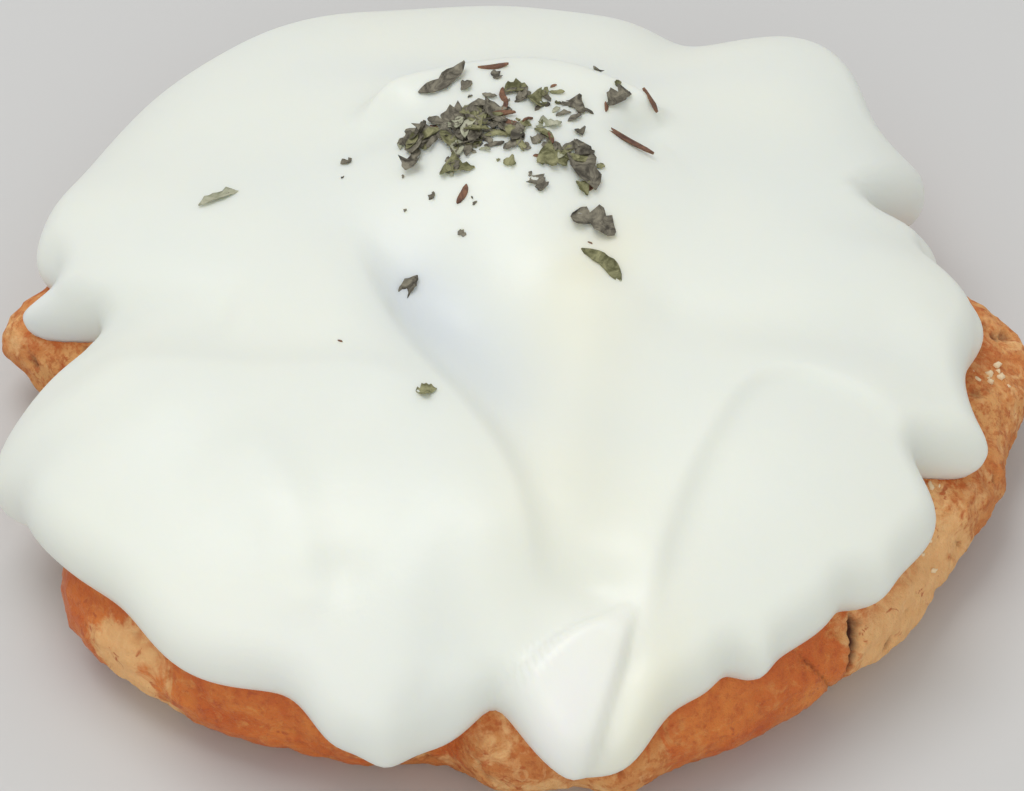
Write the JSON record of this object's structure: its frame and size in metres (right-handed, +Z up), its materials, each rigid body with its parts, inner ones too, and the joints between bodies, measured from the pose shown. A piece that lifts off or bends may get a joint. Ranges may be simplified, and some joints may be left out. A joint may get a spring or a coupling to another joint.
{
  "type": "scone topped with thick white cream and dried herbs",
  "caption": "Round browned scone with a flat base and craggy side, under a thick uneven blanket of white cream that runs down over the edge, with dried herb flakes on its crown.",
  "frame": {"origin": "middle of the flat base, below the centre that the loaf was turned about", "axes": "+Z up through the cream, +Y to the rear where the cream's crown stands, +X to the right where the bare crust shows widest"},
  "size_m": [0.0935, 0.0944, 0.0288],
  "materials": {
    "crust": "baked golden brown crust, craggy, glazed in places",
    "cream": "smooth glossy white cream"
  },
  "bodies": {
    "root": {"scone": "crust", "cream": "cream"}
  },
  "joints": []
}
